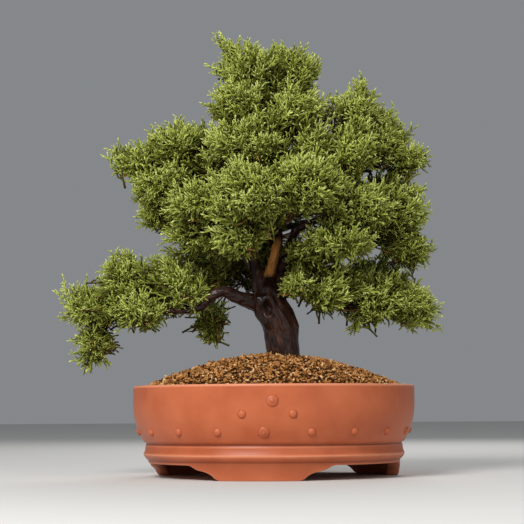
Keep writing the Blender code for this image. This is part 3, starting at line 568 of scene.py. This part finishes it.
def make_chip(seed):
    """One chip of soil: an angular splinter, one unit long."""
    chip_rng = np.random.default_rng(seed)
    bm = bmesh.new()
    for _ in range(11):
        point = chip_rng.normal(size=3)
        point = point / np.linalg.norm(point) * chip_rng.uniform(0.75, 1.0)
        bm.verts.new(point * np.array([0.5, 0.26, 0.18]))
    bmesh.ops.convex_hull(bm, input=bm.verts)
    loose = [v for v in bm.verts if not v.link_faces]
    bmesh.ops.delete(bm, geom=loose, context="VERTS")
    bm.verts.index_update()
    points = np.array([v.co for v in bm.verts])
    faces = [[v.index for v in f.verts] for f in bm.faces]
    bm.free()
    grid = math.ceil(math.sqrt(len(faces)))
    sheet = []
    for i in range(len(faces)):
        x, y = i % grid, i // grid
        sheet += [(x / grid, y / grid), ((x + 0.9) / grid, y / grid), (x / grid, (y + 0.9) / grid)]
    return points, np.array(faces).ravel(), np.full(len(faces), 3), np.array(sheet)


def make_chips(soil):
    """The chips, strewn over the heap."""
    kinds = [make_chip(100 + i) for i in range(CHIP_KINDS)]
    bundle = Bundle()
    chip_random = np.random.default_rng(31)
    for i in range(CHIP_COUNT):
        share = math.sqrt((i + 0.5) / CHIP_COUNT)
        a = i * math.pi * (3 - math.sqrt(5)) + chip_random.normal(0, 0.01)
        radius = min(SOIL_EDGE - 1.2, SOIL_EDGE * share + chip_random.normal(0, 0.8))
        x, y = radius * math.sin(a), -radius * math.cos(a)
        long = float(np.clip(chip_random.lognormal(1.42, 0.36), 2.2, 8.0))
        thick = long ** 0.55 * 2.15
        lift = chip_random.uniform(-1.5, 0.9)
        turn = (Matrix.Rotation(chip_random.uniform(0, 2 * math.pi), 3, "Z")
                @ Matrix.Rotation(chip_random.normal(0, 0.5), 3, "Y")
                @ Matrix.Rotation(chip_random.uniform(0, 2 * math.pi), 3, "X"))
        points, corners, sizes, sheet = kinds[chip_random.integers(len(kinds))]
        lying = (points * np.array([long, thick, thick])) @ np.array(turn).T
        lying = lying + np.array([x, y, heap_height(x, y) - 0.9 + lift])
        tone = float(np.clip(chip_random.normal(0.52, 0.25), 0.05, 1.0))
        bundle.add(lying, corners, sizes, sheet, {"tone": np.full(len(points), tone)})
    points, corners, sizes, sheet, marks = bundle.whole()
    chips = mesh_piece("soil_chips", from_axis(points), corners, sizes, sheet, marks)
    chips.data.shade_flat()
    return show(chips, soil)


# ---------------------------------------------------------------- wood

TRUNK_VOXEL = 0.0007
BRANCH_VOXEL = 0.0008
TWIST = 9.0  # how far the flutes turn about the trunk, in radians to the metre
HOLLOW = in_tree((-4.5, -16, 66))  # a healed hollow on the trunk's front
COLLAR = in_tree((-12.5, -12, 71))  # the swelling where the lower left branch leaves
BARE_FROM, BARE_TO = 92, 128  # heights of the strip of bare wood on the leading stem
BARE_WAY = -0.4  # which way that strip faces, in radians from the front


def nearest_on(line, points):
    """For each point, how far along a line of points it is, and the way out from the line to it."""
    starts, ends = line[:-1], line[1:]
    lengths = np.linalg.norm(ends - starts, axis=1)
    before = np.concatenate([[0], np.cumsum(lengths)[:-1]])
    best = np.full(len(points), np.inf)
    along = np.zeros(len(points))
    out = np.zeros((len(points), 3))
    for start, end, length, offset in zip(starts, ends, lengths, before):
        t = np.clip((points - start) @ (end - start) / length ** 2, 0, 1)
        away = points - (start + t[:, None] * (end - start))
        gap = np.linalg.norm(away, axis=1)
        closer = gap < best
        best[closer] = gap[closer]
        along[closer] = offset + t[closer] * length
        out[closer] = away[closer]
    return along, out


def copy_of(node, name, voxel):
    """A CAD node's shape as a new fine mesh, with its points and the way out at each."""
    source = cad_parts[node]
    ob = bpy.data.objects.new(name, source.data.copy())
    ob.data.name = name
    bpy.context.scene.collection.objects.link(ob)
    weld = ob.modifiers.new("weld", "WELD")
    weld.merge_threshold = 0.00001
    remesh = ob.modifiers.new("remesh", "REMESH")
    remesh.mode = "VOXEL"
    remesh.voxel_size = voxel
    smooth = ob.modifiers.new("smooth", "SMOOTH")
    smooth.iterations = 6
    dg = bpy.context.evaluated_depsgraph_get()
    mesh = bpy.data.meshes.new_from_object(ob.evaluated_get(dg))
    ob.modifiers.clear()
    ob.data = mesh
    mesh.name = name
    return ob, np.array([v.co for v in mesh.vertices]), np.array([v.normal for v in mesh.vertices])


def finish_wood(ob, points, grain, stripped, bark, node):
    """Moves the points of a piece of wood and marks how its grain runs and where it is stripped."""
    mesh = ob.data
    mesh.vertices.foreach_set("co", points.astype(np.float32).ravel())
    for mark, kind, field, values in (("grain", "FLOAT_VECTOR", "vector", grain),
                                      ("stripped", "FLOAT", "value", stripped)):
        made = mesh.attributes.new(mark, kind, "POINT")
        made.data.foreach_set(field, values.astype(np.float32).ravel())
    mesh.update()
    mesh.shade_smooth()
    return show(ob, bark, [node])


def make_trunk(bark):
    """The trunk: fluted and twisted bark, with a healed hollow on its front and the leading stem stripped
    bare for a few centimetres."""
    ob, points, normals = copy_of("trunk", "trunk_bark", TRUNK_VOXEL)
    along, out = nearest_on(in_tree(TRUNK_LINE), points)
    radius = np.linalg.norm(out, axis=1)
    angle = np.arctan2(out[:, 0], -out[:, 1])
    twisted = angle + along * TWIST
    push = np.zeros(len(points))
    for i, point in enumerate(points):
        a, s, r = twisted[i], along[i] * 1000, radius[i] * 1000
        way = Vector((math.cos(a) * 2.2, math.sin(a) * 2.2, s * 0.022))
        flute = noise.noise(way) * 0.11 * r
        way = Vector((math.cos(a) * 7, math.sin(a) * 7, s * 0.05 + 5))
        ridge = (abs(noise.noise(way)) - 0.25) * 0.07 * r
        knob = noise.noise(Vector(point) * 130) * 0.5
        away = (Vector(point) - Vector(HOLLOW)) * 1000
        away.y *= 0.5
        away.z *= 0.62
        gap = away.length
        pit = -3.6 * math.exp(-(gap / 3.0) ** 2) + 1.3 * math.exp(-((gap - 5.2) / 1.8) ** 2)
        away = (Vector(point) - Vector(COLLAR)) * 1000
        lump = 1.8 * math.exp(-(away.length / 5.0) ** 2)
        push[i] = flute + ridge + (knob + pit + lump) * min(1.0, r / 8)
    points = points + normals * push[:, None] * MM
    grain = np.stack([angle * radius + along * 0.05, along, radius], axis=1)
    height = (points[:, 2] - RIM) / MM
    stripped = np.clip((height - BARE_FROM) / 4, 0, 1) * np.clip((BARE_TO - height) / 8, 0, 1)
    stripped *= np.clip(1.4 - np.abs(angle - BARE_WAY) / 1.1, 0, 1) * (radius < 0.008)
    return finish_wood(ob, points, grain, stripped, bark, "trunk")


def make_branch(node, bark):
    """A branch: the same bark, its grain running with the branch's longest side."""
    ob, points, normals = copy_of(node, "wood_" + node.replace("branch_", ""), BRANCH_VOXEL)
    middle = points.mean(axis=0)
    _, _, ways = np.linalg.svd(points - middle, full_matrices=False)
    local = (points - middle) @ ways.T
    push = [noise.noise(Vector(p) * 160) * 0.7 + abs(noise.noise(Vector(run))) * 0.6
            for p, run in zip(points, local * (90, 420, 420))]
    points = points + normals * np.array(push)[:, None] * MM
    return finish_wood(ob, points, local[:, [1, 0, 2]], np.zeros(len(points)), bark, node)


# ---------------------------------------------------------------- foliage

SPRAY = 0.027  # length of a spray
PLUME = 0.045  # length of a leading shoot
SPRAY_KINDS = 12
PLUME_KINDS = 4
SHOOT_PITCH = (2.7, 2.3)  # mm from one side shoot to the next, on a spray's stem and on a side shoot
SCALE_RINGS = (0.7, 1.0, 0.78)  # how thick a shoot is at its start, its fullest and before its tip


def grow_shoot(bundle, shoots, start, direction, length, radius, level, reach, crowd):
    """One shoot of a spray and, from it, its side shoots."""
    steps = 5 if level == 0 else 3
    t = np.linspace(0, 1, steps + 1)
    bend = shoots.normal(0, 0.22, 3)
    path = start + np.outer(t, direction) * length + np.outer(t ** 2, bend) * length * 0.5
    if level == 0:
        radii = radius * (1 - 0.4 * t)
    else:
        radii = radius * np.array(SCALE_RINGS)
    points, corners, sizes, sheet, share = limb(path, radii, 3 if level == 2 else 4)
    tone = shoots.uniform(0, 1)
    bundle.add(points, corners, sizes, sheet, {"reach": reach + (1 - reach) * 0.6 * share,
                                               "tone": np.full(len(points), tone)})
    if level == 2:
        return
    pitch = SHOOT_PITCH[level] * MM * crowd
    count = max(1, int(length * 0.82 / pitch))
    first, second = square_to(direction)
    turn = shoots.uniform(0, 2 * math.pi)
    for i in range(count):
        at = 0.16 + 0.8 * (i + shoots.uniform(0, 0.6)) / count
        place = start + direction * length * at + bend * length * 0.5 * at ** 2
        turn += math.pi + shoots.normal(0, 0.75) if level else 2.4 + shoots.normal(0, 0.4)
        outward = math.cos(turn) * first + math.sin(turn) * second
        lean = math.radians(shoots.uniform(26, 46) * (1 - 0.3 * at))
        way = unit(direction * math.cos(lean) + outward * math.sin(lean))
        if level == 0:
            size = (4.6 + 9.0 * math.sin(math.pi * (0.2 + 0.72 * at))) * MM * shoots.uniform(0.7, 1.2)
            size *= length / SPRAY
        else:
            size = length * shoots.uniform(0.35, 0.6) * (1.15 - 0.55 * at)
        grow_shoot(bundle, shoots, place, way, size, radius * 0.9, level + 1, reach + (1 - reach) * 0.5 * at,
                   crowd)


def make_spray(seed, length, crowd=1.0):
    """A spray of scale-leaved shoots, growing along +Z from the origin."""
    bundle = Bundle()
    grow_shoot(bundle, np.random.default_rng(seed), np.zeros(3), np.array([0, 0, 1.0]), length, 0.9 * MM, 0,
               0.12, crowd)
    return bundle.whole()


def make_plume(seed, length):
    """A long leading shoot with short side shoots all round it, growing along +Z from the origin."""
    shoots = np.random.default_rng(seed)
    bundle = Bundle()
    t = np.linspace(0, 1, 9)
    bend = shoots.normal(0, 0.12, 3)
    path = np.outer(t, [0, 0, length]) + np.outer(t ** 2, bend) * length * 0.5
    points, corners, sizes, sheet, share = limb(path, MM * (1.1 - 0.5 * t), 5)
    bundle.add(points, corners, sizes, sheet, {"reach": 0.1 + 0.5 * share, "tone": np.full(len(points), 0.5)})
    turn = 0.0
    count = int(length / (1.5 * MM))
    for i in range(count):
        at = 0.04 + 0.94 * i / count
        turn += 2.4 + shoots.normal(0, 0.3)
        place = np.array([0, 0, length]) * at + bend * length * 0.5 * at ** 2
        lean = math.radians(48 - 24 * at)
        way = np.array([math.cos(turn) * math.sin(lean), math.sin(turn) * math.sin(lean), math.cos(lean)])
        size = (9.5 - 6.5 * at) * MM * shoots.uniform(0.7, 1.15)
        grow_shoot(bundle, shoots, place, way, size, 0.85 * MM, 1, 0.25 + 0.45 * at, 1.1)
    return bundle.whole()


class Clump:
    """A clump of foliage as the CAD has it: its middle, its surface and its long points."""

    def __init__(self, node):
        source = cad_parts[node].data
        self.points = np.array([v.co for v in source.vertices])
        source.calc_loop_triangles()
        self.triangles = np.array([t.vertices for t in source.loop_triangles])
        self.tree = BVHTree.FromPolygons([Vector(p) for p in self.points], self.triangles.tolist())
        low, high = self.points.min(axis=0), self.points.max(axis=0)
        self.middle = self.points.mean(axis=0)
        self.half = (high - low) / 2
        a, b, c = (self.points[self.triangles[:, k]] for k in range(3))
        cross = np.cross(b - a, c - a)
        self.areas = np.linalg.norm(cross, axis=1) / 2

    def scatter(self, count):
        """Random places on the surface, even over its area."""
        picked = rng.choice(len(self.areas), count, p=self.areas / self.areas.sum())
        u, v = rng.random(count), rng.random(count)
        flip = u + v > 1
        u[flip], v[flip] = 1 - u[flip], 1 - v[flip]
        a, b, c = (self.points[self.triangles[picked, k]] for k in range(3))
        return a + u[:, None] * (b - a) + v[:, None] * (c - a)

    def long_points(self):
        """Corners that stand far out from their neighbours, where a long shoot ends."""
        reach = np.linalg.norm((self.points - self.middle) / self.half, axis=1)
        size = np.linalg.norm(self.points - self.middle, axis=1)
        way = (self.points - self.middle) / size[:, None]
        found = []
        for i in np.argsort(-reach):
            near = (way @ way[i] > 0.7) & (way @ way[i] < 0.995)
            if near.any() and size[i] > 1.38 * np.median(size[near]):
                if all(np.linalg.norm(self.points[i] - f) > 0.012 for f in found):
                    found.append(self.points[i])
        return found


def put(bundle, body, way, size, place, tone=None, older=0.0):
    """Adds a copy of a spray to a bundle: grown along a way, spun about it at random and made older by a
    share, which darkens and browns it. On sprays pressed between clumps or facing down the share is painted
    shade; on the old shoots behind the fork it is age and painted shade. Where no tone is given, it gets a
    random one."""
    first, second = square_to(way)
    spin = rng.uniform(0, 2 * math.pi)
    x = math.cos(spin) * first + math.sin(spin) * second
    turn = np.stack([x, np.cross(way, x), way], axis=1)
    tone = rng.random() if tone is None else tone
    points, corners, sizes, sheet, marks = body
    marks = {"reach": marks["reach"] - older, "tone": np.clip(marks["tone"] * 0.6 + tone * 0.4, 0, 1)}
    bundle.add(points @ turn.T * size + place, corners, sizes, sheet, marks)


# The pieces of foliage and the clumps that each stands for
GROUPS = {
    "sprays_apex_left": ["apex_left", "apex_low_left"],
    "sprays_apex_right": ["apex_right", "apex_low_right"],
    "sprays_apex_back": ["apex_back", "front_top"],
    "sprays_upper_right": ["upper_right_top", "upper_right_mid", "upper_right_tip"],
    "sprays_upper_right_sides": ["upper_right_front", "upper_right_back"],
    "sprays_upper_left": ["upper_left_top", "upper_left_tip", "upper_left_inner"],
    "sprays_upper_left_low": ["upper_left_mid", "upper_left_low"],
    "sprays_upper_left_back": ["upper_left_back"],
    "sprays_front_left": ["front_left", "front_left_low"],
    "sprays_front_mid": ["front_mid", "front_low"],
    "sprays_front_right": ["front_right", "front_right_top"],
    "sprays_centre_back": ["centre_back"],
    "sprays_right_back": ["right_back"],
    "sprays_right_mid": ["right_mid", "right_low"],
    "sprays_right_out": ["right_out", "right_out_low", "right_inner_low", "right_inner_front"],
    "sprays_lower_right": ["lower_right_inner", "lower_right_mid"],
    "sprays_lower_right_tip": ["lower_right_tip", "lower_right_back"],
    "sprays_lower_left_tip": ["lower_left_top", "lower_left_tip", "lower_left_hang"],
    "sprays_lower_left": ["lower_left_mid", "lower_left_inner"],
    "sprays_lower_left_back": ["lower_left_back", "back_left_hang"],
    "sprays_back_left": ["back_left_low", "centre_back_low"],
}
SPACING = 7.6 * MM  # least distance between the tips of two sprays
TIP_TRIES = 900  # places tried for a tip on each clump
CROWN = in_tree((-4, 0, 130))  # about where the stems of the crown come from
CROWN_SPREAD = (0.055, 0.032, 0.055)  # half the room that its inner shoots fill
STEM_WINDOW = in_tree((0, -50, 106))  # the gap in front through which the bare stem is seen
WINDOW_HALF = (0.015, 0.06, 0.02)
# the old shoots at DEEP_SHADE are drawn dark for their age and as painted shade
DEEP_SHADE = in_tree((-26, 27, 90))  # middle of the old shoots behind the fork, left of the trunk
SHADE_SPREAD = (0.016, 0.010, 0.018)
INNER_COUNT = 70
SHADE_COUNT = 24


def make_foliage(leaves, young_bark):
    """Sprays over every clump, their twigs, and the long shoots."""
    kinds = [make_spray(200 + i, SPRAY) for i in range(SPRAY_KINDS)]
    plumes = [make_plume(300 + i, PLUME) for i in range(PLUME_KINDS)]
    clumps = {name: Clump("foliage_" + name) for names in GROUPS.values() for name in names}
    twigs = Bundle()
    for piece_name, names in GROUPS.items():
        bundle = Bundle()
        for name in names:
            fill_clump(bundle, twigs, clumps[name], clumps, kinds, plumes)
        ob = mesh_piece(piece_name, *bundle.whole())
        show(ob, leaves, ["foliage_" + name for name in names])
    inner = Bundle()
    for _ in range(INNER_COUNT):
        way = unit(rng.normal(size=3))
        place = CROWN + np.array([0, 0.018, 0.025]) + way * rng.random() ** 0.5 * CROWN_SPREAD
        put(inner, kinds[rng.integers(len(kinds))], way, 0.9, place, 0.2, 0.3)
        add_twig(twigs, CROWN, place, way)
    for _ in range(SHADE_COUNT):
        way = unit(rng.normal(size=3))
        place = DEEP_SHADE + way * rng.random() ** 0.5 * SHADE_SPREAD - way * 0.01
        # dark tone and a large older share: old growth and painted shade
        put(inner, kinds[rng.integers(len(kinds))], way, 0.75, place, 0.1, 0.34)
        if rng.random() < 0.3:
            add_twig(twigs, DEEP_SHADE, place, way)
    show(mesh_piece("sprays_inner", *inner.whole()), leaves)
    show(mesh_piece("twigs", *twigs.whole()), young_bark)


def meets(place, clumps, reach):
    """Whether a clump comes within reach of a place."""
    return any(c.tree.find_nearest(Vector(place), reach)[0] is not None for c in clumps)


def fill_clump(bundle, twigs, clump, clumps, kinds, plumes):
    """Sprays whose tips lie on the clump's surface, some older ones inside, and leading shoots."""
    small = min(1.0, float(clump.half.min()) / 0.021)
    scale = 0.72 + 0.28 * small
    others = [c for c in clumps.values() if c is not clump
              and np.linalg.norm(c.middle - clump.middle) < np.linalg.norm(c.half + clump.half)]
    chosen = []
    for point in clump.scatter(TIP_TRIES):
        if not chosen or np.min(np.linalg.norm(np.array(chosen) - point, axis=1)) >= SPACING * scale:
            chosen.append(point)
    for point in chosen:
        if np.linalg.norm((point - STEM_WINDOW) / WINDOW_HALF) < 1:
            continue
        out = unit((point - clump.middle) / clump.half ** 2)
        pressed = meets(point + out * 0.004, others, 0.005)
        if pressed and rng.random() < 0.5:
            continue
        from_crown = unit(point - CROWN)
        way = out * (0.35 if pressed else 1.0) + from_crown * (0.9 if pressed else 0.3)
        way = unit(way + np.array([0, 0, 0.35]) + rng.normal(0, 0.36, 3))
        size = scale * rng.uniform(0.72, 1.2)
        tip = point + (way * rng.uniform(0, 0.006) if pressed else out * rng.uniform(-0.008, -0.001))
        root = tip - way * SPRAY * size
        # painted shade: sprays pressed against another clump or facing down are drawn older and darker
        shade = (0.16 if pressed else 0.0) + 0.12 * max(0.0, -out[2])
        put(bundle, kinds[rng.integers(len(kinds))], way, size, root, older=shade)
        if rng.random() < 0.5:
            add_twig(twigs, clump.middle, root, way)
    for _ in range(max(6, len(chosen) // 4)):
        point = chosen[rng.integers(len(chosen))]
        way = unit(point - clump.middle + rng.normal(0, 0.012, 3))
        inner = clump.middle + (point - clump.middle) * rng.uniform(0.35, 0.7)
        put(bundle, kinds[rng.integers(len(kinds))], way, scale * 0.85, inner - way * 0.02 * scale, 0.2, 0.22)
    for point in clump.scatter(5):
        out = unit((point - clump.middle) / clump.half ** 2)
        if out[2] < 0.15 or meets(point + out * 0.006, others, 0.006):
            continue
        way = unit(out + np.array([0, 0, 0.5]) + rng.normal(0, 0.25, 3))
        size = rng.uniform(0.5, 0.7)
        root = point + way * 0.005 - way * PLUME * size
        put(bundle, plumes[rng.integers(len(plumes))], way, size, root, older=-0.05)
    for tip in clump.long_points():
        way = unit(tip - clump.middle)
        size = min(1.0, np.linalg.norm(tip - clump.middle) * 0.95 / PLUME)
        put(bundle, plumes[rng.integers(len(plumes))], way, size, tip - way * PLUME * size, older=-0.05)


def add_twig(twigs, start, end, way):
    """A thin twig from inside a clump to the foot of a spray."""
    start = start + rng.normal(0, 0.004, 3)
    t = np.linspace(0, 1, 5)[:, None]
    knee = (start + end) / 2 - np.array([0, 0, 0.12]) * np.linalg.norm(end - start)
    path = start * (1 - t) ** 2 + knee * 2 * t * (1 - t) + end * t ** 2
    path[-1] = end + way * 0.002
    points, corners, sizes, sheet, share = limb(path, np.linspace(0.95, 0.6, 5) * MM, 4)
    twigs.add(points, corners, sizes, sheet, {"tone": 0.1 + 0.5 * share})


# ---------------------------------------------------------------- room and camera

# Each lamp: its name, where it stands, the side of its square and its power in watts
LAMPS = [("key", (-0.6, -1.25, 1.1), 0.7, 28.0), ("fill", (0.9, -1.3, 0.5), 1.0, 3.5),
         ("rim", (0.3, 1.2, 1.0), 0.8, 7.0)]


def make_room():
    """A plain pale floor with soft studio light: a large key from the upper left front, a weaker fill from
    the right and a rim light from behind."""
    add_ground()
    world = bpy.data.worlds.new("soft_room")
    world.use_nodes = True
    back = world.node_tree.nodes["Background"]
    back.inputs["Color"].default_value = linear("#dfe3e8")
    back.inputs["Strength"].default_value = 0.32
    bpy.context.scene.world = world
    for name, place, size, power in LAMPS:
        light = bpy.data.lights.new(name, "AREA")
        light.energy = power
        light.size = size
        ob = bpy.data.objects.new(name, light)
        ob.location = place
        aim = Vector((0, 0, 0.2)) - ob.location
        ob.rotation_euler = aim.to_track_quat("-Z", "Y").to_euler()
        bpy.context.scene.collection.objects.link(ob)


def add_ground():
    """The floor: a pale sheet of seamless paper."""
    size = 6.0
    mesh = bpy.data.meshes.new("floor")
    corners = [(-size, -size, 0), (size, -size, 0), (size, size, 0), (-size, size, 0)]
    mesh.from_pydata(corners, [], [(0, 1, 2, 3)])
    mat, tree, shader = new_material("pale_seamless_paper", Roughness=0.85)
    place = add(tree, "ShaderNodeTexCoord").outputs["Object"]
    tooth = add(tree, "ShaderNodeTexNoise", {"Vector": place, "Scale": 900.0, "Detail": 2.0})
    colour = add(tree, "ShaderNodeValToRGB", {"Fac": tooth.outputs["Fac"]},
                 stops=[(0.4, "#d3d1cd"), (0.6, "#d8d6d2")])
    feed(tree, shader, {"Base Color": colour.outputs["Color"]})
    mesh.materials.append(mat)
    ob = bpy.data.objects.new("floor", mesh)
    bpy.context.scene.collection.objects.link(ob)
    return ob


CAMERA_DISTANCE = 1.426  # in front of the pot's axis
CAMERA_HEIGHT = 0.0562  # above the table
CAMERA_TILT = 5.095  # these three in degrees
CAMERA_YAW = 0.374
CAMERA_ROLL = 0.35
CAMERA_LENS = 114.03  # in mm


def make_camera():
    """A long lens a little above the table, tilted up at the tree."""
    data = bpy.data.cameras.new("camera")
    data.lens = CAMERA_LENS
    data.sensor_width = 36.0
    data.clip_start = 0.05
    ob = bpy.data.objects.new("camera", data)
    turn = (Matrix.Rotation(math.radians(CAMERA_YAW), 4, "Z")
            @ Matrix.Rotation(math.radians(90 + CAMERA_TILT), 4, "X")
            @ Matrix.Rotation(math.radians(-CAMERA_ROLL), 4, "Z"))
    ob.matrix_world = Matrix.Translation((AXIS[0], AXIS[1] - CAMERA_DISTANCE, CAMERA_HEIGHT)) @ turn
    bpy.context.scene.collection.objects.link(ob)
    bpy.context.scene.camera = ob


# ---------------------------------------------------------------- assembly

clay, soil, bark = burnished_clay(), grain_soil(), wet_bark()
make_pot(clay)
make_studs(clay)
make_soil_bed(soil)
make_chips(soil)
make_trunk(bark)
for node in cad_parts:
    if node.startswith("branch_"):
        make_branch(node, bark)
make_foliage(scale_leaves(), twig_bark())
for node, finish in (("drain_mesh", extruded_plastic()), ("mesh_clip", annealed_wire())):
    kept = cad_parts[node]
    kept.data.materials.clear()
    kept.data.materials.append(finish)
make_room()
make_camera()
bpy.context.scene.view_settings.view_transform = "Standard"
